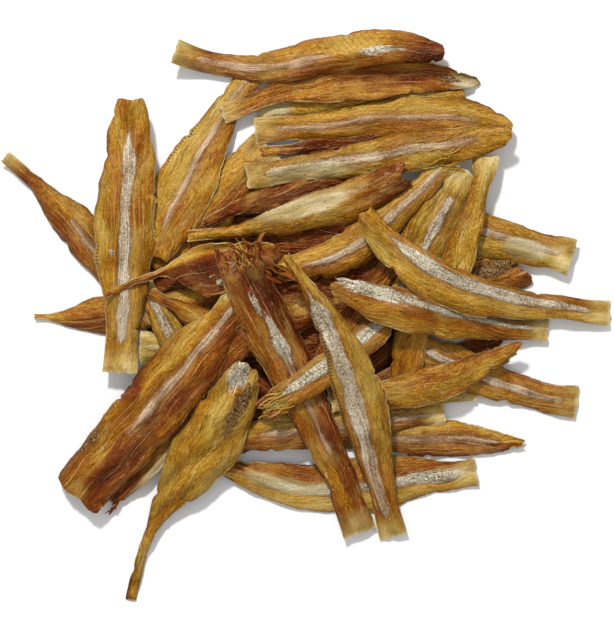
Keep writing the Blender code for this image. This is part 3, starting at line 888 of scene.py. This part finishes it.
def flesh_material():
    """Dried anchovy flesh: air dried, oily and translucent, with silver skin on the stripe.

    Drying leaves smooth amber flesh with lengthwise fibres, thin rims that let light
    through, and a stripe of fine silver scales, worn pinkish, that blends into the flesh.
    """
    material = bpy.data.materials.new("dried_anchovy_flesh")
    material.use_nodes = True
    tree = material.node_tree
    add = partial(add_node, tree)
    place = add("Attribute", attribute_name="place").outputs["Vector"]
    zones, edges, finish, marks = (
        add("SeparateXYZ", add("Attribute", attribute_name=name).outputs["Vector"]).outputs
        for name in ("zones", "edges", "finish", "marks")
    )
    inside_stripe, along, torn = zones
    inside_edge, pores, ribs = edges
    shine, tone, hue = finish
    skin, silver, crumbs = marks

    # The grain of the flesh wanders about 1 mm to either side
    wander = add("TexNoise", {"Vector": place, "Scale": 1 / 14, "Detail": 1}).outputs["Color"]
    wander = add("VectorMath SUBTRACT", wander, (0.5, 0.5, 0.5))
    wander = add("VectorMath MULTIPLY_ADD", wander, (5.0, 3.0, 0.0), place)

    # Muscle fibres slant back from the middle line to both sides
    sides = add("SeparateXYZ", wander).outputs
    aside = add("Math ABSOLUTE", sides[1])
    slant = add("Math MULTIPLY_ADD", aside, 0.6, sides[0])
    offset = add("Math MULTIPLY_ADD", sides[0], -0.3, aside)
    slanted = add("CombineXYZ", slant, offset, sides[2])

    noise = {}
    for name, (length, width, detail) in NOISES.items():
        grain = slanted if name == "fibre" else wander
        scaled = add("VectorMath MULTIPLY", grain, (1 / length, 1 / width, 1))
        inputs = {"Vector": scaled, "Scale": 1, "Detail": detail, "Distortion": 0.2}
        noise[name] = add("TexNoise", inputs)

    # Flesh: noise moves the level up and down, the crease beside the stripe is darkened as painted shade,
    # and the edge is darker
    level = add("Math", tone, -sum(FLESH_NOISES.values()) / 2)
    for name, weight in FLESH_NOISES.items():
        level = add("Math MULTIPLY_ADD", noise[name], weight, level)
    # Painted shade: darker within 1.7 mm beside the stripe
    crease_shade = add("MapRange", inside_stripe, -1.7, -0.1, 0.0, -0.07)
    edge = add("Math MULTIPLY_ADD", noise["fibre"], 0.8, inside_edge)
    edge = add("MapRange", edge, 0.55, 1.6, -0.2, 0.0)
    level = add("Math", add("Math", level, crease_shade), edge)
    red, amber, olive = (
        add("ValToRGB", level, stops=tuple(zip(FLESH_PLACES, codes)))
        for codes in (RED_BROWN, AMBER, OLIVE)
    )
    hue = add("Math MULTIPLY_ADD", noise["tint"], 1.3, add("Math", hue, -0.65))
    to_amber = add("MapRange", hue, 0.0, 0.5)
    to_olive = add("MapRange", hue, 0.5, 1.0)

    # Hairs: a few fibres stand out pale as painted glints along their ridges, and a few cracks between them
    # are dark with painted shade
    hair_glint = add("MapRange", noise["hair"], 0.6, 0.72, 0.0, 0.42)
    crack_shade = add("MapRange", noise["hair"], 0.4, 0.3, 0.0, 0.5)

    # Creases: thin lines where the flesh has folded as it shrank, darkened with painted shade and pressed
    # in by the relief
    crease = add("Math ABSOLUTE", add("Math SUBTRACT", noise["crease"], 0.5))
    crease = add("MapRange", crease, 0.0, 0.026, 0.55, 0.0)

    # Thin places, where light comes through pale: patches, the rim, and beside the stripe
    thin = add("MapRange", noise["tint"], 0.52, 0.68, 0.0, 0.32)
    thin = add("Math MULTIPLY", thin, to_amber)
    beside = add("MapRange", inside_stripe, -2.6, 0.2, 0.0, 1.0)
    rim = add("Math MULTIPLY_ADD", noise["crinkle"], 1.4, inside_edge)
    rim = add("MapRange", rim, 0.8, 1.3, 1.0, 0.0)

    # Painted shade: a dark line beside the raised stripe, deeper on its left
    line = add("MapRange", inside_stripe, -0.7, -0.2, 0.0, 0.7)
    line = add("Math MULTIPLY", line, add("MapRange", sides[1], -0.6, 0.6, 0.35, 1.0))

    # Noise breaks these four up
    crease, beside, rim, line = (
        add("Math MULTIPLY", layer, add("MapRange", noise[name], *span))
        for layer, name, span in (
            (crease, "blotch", (0.42, 0.56, 0.0, 1.0)),
            (beside, "blotch", (0.42, 0.6, 0.0, 0.45)),
            (rim, "streak", (0.46, 0.6, 0.0, 0.6)),
            (line, "streak", (0.42, 0.56, 0.1, 0.9)),
        )
    )

    # Stripe: silver scales, and pinkish lines where the skin has worn thin
    cells = add("TexVoronoi", {"Vector": place, "Scale": 1 / SCALE_SIZE})
    patchy = add("Math MULTIPLY_ADD", noise["blotch"], 0.6, -0.3)
    scaly = add("Mix", {0: 0.4, 2: noise["grain"], 3: noise["hair"]})
    scaly = add("Math", add("Math MULTIPLY_ADD", cells, -0.36, scaly), patchy)
    worn = add("Math", add("Mix", {0: 0.6, 2: noise["grain"], 3: noise["hair"]}), patchy)
    brightness = add("Math MAXIMUM", shine, silver)
    pinkish = add("ValToRGB", worn, stops=PINKISH)
    bright = add("ValToRGB", scaly, stops=SILVER)
    scales = add("Mix", {0: brightness, 6: pinkish, 7: bright}, data_type="RGBA").outputs[2]
    stripe = add("Math MULTIPLY_ADD", noise["grain"], 0.5, inside_stripe)
    stripe = add("Math", stripe, noise["crinkle"])
    stripe = add("MapRange", stripe, 0.5, 1.25, interpolation_type="SMOOTHSTEP")
    stripe = add("Math MULTIPLY", stripe, add("MapRange", brightness, 0.0, 0.5, 0.42, 1.0))
    patch = add("Math MULTIPLY_ADD", worn, 1.4, silver)
    patch = add("Math MULTIPLY_ADD", noise["crinkle"], 1.6, patch)
    stripe = add("Math MAXIMUM", stripe, add("MapRange", patch, 1.9, 2.15))

    # Smooth grey skin that still covers the flesh in places
    skin = add("Math MULTIPLY_ADD", noise["blotch"], 0.9, skin)
    skin = add("MapRange", skin, 0.8, 1.2, 0.0, 0.8)

    # Segments of the muscle: dark lines that slant back from the middle, mostly faint
    rib = add("Math SINE", add("Math MULTIPLY", slant, math.tau / SEGMENT_PITCH))
    faint = add("MapRange", noise["streak"], 0.5, 0.62, 0.0, 0.14)
    ribs = add("Math MAXIMUM", faint, add("Math MULTIPLY", ribs, 0.55))
    rib = add("Math MULTIPLY", add("MapRange", rib, 0.7, 1.0), ribs)

    # Tail stub: pale olive, and palest at the cut
    stub = add("MapRange", along, 3.0, 9.0, 0.7, 0.0)
    cut = add("Math MULTIPLY_ADD", noise["fibre"], 3.0, along)
    cut = add("MapRange", cut, 1.2, 2.6, 0.6, 0.0)

    # Head end: torn flesh dries dark red brown, with pale shreds in it
    torn = add("MapRange", add("Math MULTIPLY", torn, noise["blotch"]), 0.2, 0.55, 0.0, 0.85)

    # Crumbs: dark dried grains
    crumbs = add("Math MULTIPLY_ADD", noise["grain"], 1.4, crumbs)
    crumbs = add("Math MULTIPLY_ADD", noise["crinkle"], 2.4, crumbs)
    crumbs = add("MapRange", crumbs, 2.35, 2.6)
    grains = add("TexVoronoi", {"Vector": wander, "Scale": 1 / CRUMB_SIZE})

    # Pores: a row of dark ticks, 1.1 mm inside the edge
    turns = add("Math MULTIPLY", add("SeparateXYZ", place), 1 / PORE_PITCH)
    off_middle = add("Math MULTIPLY_ADD", add("Math FRACT", turns), 6.0, -3.0)
    off_line = add("Math MULTIPLY_ADD", inside_edge, 2.4, -2.6)
    away = add("VectorMath LENGTH", add("CombineXYZ", off_middle, off_line)).outputs["Value"]
    dot = add("Math MULTIPLY", add("MapRange", away, 0.75, 1.3, 1.0, 0.0), pores)

    # Pigment: single dark specks under half a millimetre
    cells = add("TexVoronoi", {"Vector": place, "Scale": 1 / SPECK_PITCH})
    chosen = add("Math GREATER_THAN", add("SeparateColor", cells.outputs["Color"]), 0.65)
    speck = add("Math MULTIPLY", chosen, add("MapRange", cells, 0.06, 0.12, 0.7, 0.0))

    # Each layer covers the ones before it
    colour = red
    for share, shade in (
        (to_amber, amber),
        (to_olive, olive),
        (hair_glint, "#D2A868"),
        (crack_shade, "#4E2A0E"),
        (crease, "#4A2008"),
        (thin, "#C29C4E"),
        (beside, "#B88C5A"),
        (rim, "#CDB478"),
        (line, "#4A2A10"),
        (stripe, scales),
        (skin, add("ValToRGB", noise["streak"], stops=GREY_SKIN)),
        (rib, "#6E4A10"),
        (stub, add("ValToRGB", noise["blotch"], stops=STUB)),
        (cut, "#D2C494"),
        (torn, add("ValToRGB", noise["crinkle"], stops=TORN)),
        (crumbs, add("ValToRGB", grains, stops=CRUMBS)),
        (add("Math MAXIMUM", dot, speck), "#2E1C0C"),
    ):
        shade = linear(shade) if isinstance(shade, str) else shade
        colour = add("Mix", {0: share, 6: colour, 7: shade}, data_type="RGBA").outputs[2]

    # Relief, where the scales and the crumbs are the roughest
    bumpy = add("Math MAXIMUM", add("Math MAXIMUM", stripe, crumbs), 0.4)
    height = add("Math MULTIPLY", noise["grain"], bumpy)
    for pattern, share in (
        (noise["crinkle"], add("MapRange", hue, 0.0, 0.5, 2.6, 1.5)),
        (noise["blotch"], 1.5),
        (noise["fibre"], 0.6),
        (crease, -0.8),
    ):
        height = add("Math MULTIPLY_ADD", pattern, share, height)

    # Dried oil leaves an uneven half gloss, brighter on the scales
    gloss = add("MapRange", noise["blotch"], 0.35, 0.65, 0.2, 0.42)
    connect(tree, tree.nodes["Principled BSDF"], {
        "Base Color": colour,
        "Roughness": add("Math MULTIPLY_ADD", torn, 0.25, gloss),
        "Metallic": add("Math MULTIPLY", add("Math MULTIPLY", stripe, brightness), 0.3),
        "Normal": add("Bump", {"Strength": 0.8, "Distance": 0.0004, "Height": height}),
        "IOR": 1.45,
        "Specular IOR Level": 0.38,
        "Specular Tint": (1.0, 0.72, 0.34, 1.0),
        "Subsurface Weight": 0.3,
        "Subsurface Radius": (1.0, 0.45, 0.15),
        "Subsurface Scale": 0.001,
    })
    return material


class HeapWork:
    """What the operators share while the heap is laid: the ground and the material."""

    ground = None
    draw = None
    flesh = None
    laid = 0


def lay_fish(context, table):
    """Lays the fish of one table, from the lowest to the highest."""
    if HeapWork.ground is None:
        raise RuntimeError("shape the core first")
    sizes = context.scene.anchovy_sizes
    for fish in table:
        leaf = Leaf(fish, sizes, HeapWork.draw)
        height = lay_down(leaf, HeapWork.ground, sizes)
        piece = model_fish(leaf, height, sizes, HeapWork.draw, HeapWork.laid)
        finish_piece(piece, HeapWork.flesh)
        HeapWork.laid += 1


class ANCHOVY_OT_shape_core(bpy.types.Operator):
    """Shape the hidden core of pressed fish that the heap lies on"""

    bl_idname = "anchovy.shape_core"
    bl_label = "Shape Core"

    def execute(self, context):
        sizes = context.scene.anchovy_sizes
        HeapWork.draw = random.Random(sizes.seed)
        HeapWork.ground = Ground(sizes.core_height)
        HeapWork.laid = 0
        HeapWork.flesh = flesh_material()
        reach = np.linspace(0.0, 1.0, 60)[:, None] ** 0.7
        turn = np.linspace(0.0, math.tau, 181)[None, :]
        x, y = CORE_FOOT[0] * reach * np.cos(turn), CORE_FOOT[1] * reach * np.sin(turn)
        draw = HeapWork.draw
        bumps = 0.5 * ripples(draw, x, y, 9.0, 7.0) + 0.7 * pleats(draw, x, y, 9.0, 9.0) - 0.4
        top = np.clip((1.0 - reach) / CORE_SLOPE, 0.0, 1.0) * (sizes.core_height - 0.8)
        z = np.clip(top + bumps * smooth_step((1.0 - reach) / 0.1), 0.2, None)
        core = add_grid("pressed_core", x + CORE_CENTRE[0], y + CORE_CENTRE[1], z)
        # The core shows only in the gaps between the fish, and its dark red brown tone is painted shade
        store(
            core.data,
            place=(x, y, 0.0),
            zones=(NO_STRIPE, NO_CUT, 0.3),
            edges=(NO_EDGE, 0.0, 0.0),
            finish=(0.0, 0.38, 0.05),
            marks=(0.0, 0.0, 0.3),
        )
        bpy.ops.object.mode_set(mode="EDIT")
        bpy.ops.mesh.select_all(action="SELECT")
        bpy.ops.mesh.remove_doubles(threshold=0.00001)
        bpy.ops.mesh.select_all(action="DESELECT")
        bpy.ops.mesh.select_non_manifold()
        bpy.ops.mesh.extrude_region_move(TRANSFORM_OT_translate={"value": (0, 0, -0.0001)})
        bpy.ops.mesh.edge_face_add()
        bpy.ops.object.mode_set(mode="OBJECT")
        close_up(core)
        finish_piece(core, HeapWork.flesh)
        return {"FINISHED"}


class ANCHOVY_OT_lay_under_fish(bpy.types.Operator):
    """Lay the fish that lie lowest, and those that only show between others"""

    bl_idname = "anchovy.lay_under_fish"
    bl_label = "Lay Under Fish"

    def execute(self, context):
        lay_fish(context, UNDER_FISH)
        return {"FINISHED"}


class ANCHOVY_OT_lay_right_fan(bpy.types.Operator):
    """Lay the fan of narrow fish on the right"""

    bl_idname = "anchovy.lay_right_fan"
    bl_label = "Lay Right Fan"

    def execute(self, context):
        lay_fish(context, RIGHT_FAN)
        return {"FINISHED"}


class ANCHOVY_OT_lay_left_leaves(bpy.types.Operator):
    """Lay the broad leaves on the left"""

    bl_idname = "anchovy.lay_left_leaves"
    bl_label = "Lay Left Leaves"

    def execute(self, context):
        lay_fish(context, LEFT_LEAVES)
        return {"FINISHED"}


class ANCHOVY_OT_lay_top_fish(bpy.types.Operator):
    """Lay the fish on top"""

    bl_idname = "anchovy.lay_top_fish"
    bl_label = "Lay Top Fish"

    def execute(self, context):
        lay_fish(context, TOP_FISH)
        return {"FINISHED"}


class ANCHOVY_OT_scatter_shreds(bpy.types.Operator):
    """Scatter torn fibres and scraps where heads were torn off, and silver flakes that are partly painted
    glints
    """

    bl_idname = "anchovy.scatter_shreds"
    bl_label = "Scatter Shreds"

    def execute(self, context):
        if HeapWork.ground is None:
            raise RuntimeError("shape the core first")
        for name, tufts, slot in (
            ("torn_shreds", SHREDS, "dried_flesh"),
            ("silver_glint_flakes", SILVER_GLINT_FLAKES, "silver_skin"),
        ):
            piece = model_strips(name, tufts, HeapWork.ground, HeapWork.draw)
            finish_piece(piece, HeapWork.flesh)
        return {"FINISHED"}


class ANCHOVY_OT_set_stage(bpy.types.Operator):
    """Set the floor, the softbox, the room light and the camera straight above"""

    bl_idname = "anchovy.set_stage"
    bl_label = "Set Stage"

    def execute(self, context):
        stage = context.scene.anchovy_stage
        bpy.ops.object.select_all(action="DESELECT")
        bpy.ops.mesh.primitive_plane_add(size=6)
        floor = bpy.context.object
        floor.name = "floor"
        paper = bpy.data.materials.new("matte_white_board")
        paper.use_nodes = True
        look = {"Base Color": stage.floor_colour, "Roughness": 0.9}
        connect(paper.node_tree, paper.node_tree.nodes["Principled BSDF"], look)
        floor.data.materials.append(paper)

        world = bpy.data.worlds.new("even_room_light")
        world.use_nodes = True
        look = {"Color": (1.0, 1.0, 1.0, 1.0), "Strength": stage.sky}
        connect(world.node_tree, world.node_tree.nodes["Background"], look)
        context.scene.world = world

        lamp = bpy.data.lights.new("softbox", "AREA")
        lamp.shape = "DISK"
        lamp.size = SOFTBOX_SIZE
        lamp.energy = stage.key_energy
        box = bpy.data.objects.new("softbox", lamp)
        box.location = SOFTBOX_PLACE
        box.rotation_euler = aim(box.location)
        context.scene.collection.objects.link(box)

        eye = bpy.data.cameras.new("camera")
        eye.sensor_fit = "AUTO"
        eye.sensor_width = 24
        shown = PICTURE_HEIGHT * stage.picture_scale * MM
        eye.lens = eye.sensor_width * (stage.camera_height - MEAN_HEIGHT) / shown
        eye.clip_start = 0.05
        camera = bpy.data.objects.new("camera", eye)
        camera.location = (-MIDDLE[0] * MM, -MIDDLE[1] * MM, stage.camera_height)
        context.scene.collection.objects.link(camera)
        context.scene.camera = camera
        context.scene.view_settings.view_transform = "Standard"
        return {"FINISHED"}


def aim(location):
    """The rotation that points a lamp at the origin."""
    return (-location).to_track_quat("-Z", "Y").to_euler()


class ANCHOVY_PT_heap(bpy.types.Panel):
    """Sizes, stage and the steps that lay the heap"""

    bl_label = "Dried Anchovies"
    bl_idname = "ANCHOVY_PT_heap"
    bl_space_type = "VIEW_3D"
    bl_region_type = "UI"
    bl_category = "Anchovies"

    def draw(self, context):
        for group in (context.scene.anchovy_sizes, context.scene.anchovy_stage):
            for name in group.__annotations__:
                self.layout.prop(group, name)
        for step in STEPS:
            self.layout.operator(step.bl_idname)


STEPS = (
    ANCHOVY_OT_shape_core,
    ANCHOVY_OT_lay_under_fish,
    ANCHOVY_OT_lay_right_fan,
    ANCHOVY_OT_lay_left_leaves,
    ANCHOVY_OT_lay_top_fish,
    ANCHOVY_OT_scatter_shreds,
    ANCHOVY_OT_set_stage,
)
CLASSES = (HeapSizes, StageSettings, *STEPS, ANCHOVY_PT_heap)


def register():
    for one in CLASSES:
        bpy.utils.register_class(one)
    bpy.types.Scene.anchovy_sizes = PointerProperty(type=HeapSizes)
    bpy.types.Scene.anchovy_stage = PointerProperty(type=StageSettings)


def unregister():
    del bpy.types.Scene.anchovy_stage
    del bpy.types.Scene.anchovy_sizes
    for one in reversed(CLASSES):
        bpy.utils.unregister_class(one)


def main():
    register()
    bpy.ops.anchovy.shape_core()
    bpy.ops.anchovy.lay_under_fish()
    bpy.ops.anchovy.lay_right_fan()
    bpy.ops.anchovy.lay_left_leaves()
    bpy.ops.anchovy.lay_top_fish()
    bpy.ops.anchovy.scatter_shreds()
    bpy.ops.anchovy.set_stage()


if __name__ == "__main__":
    main()
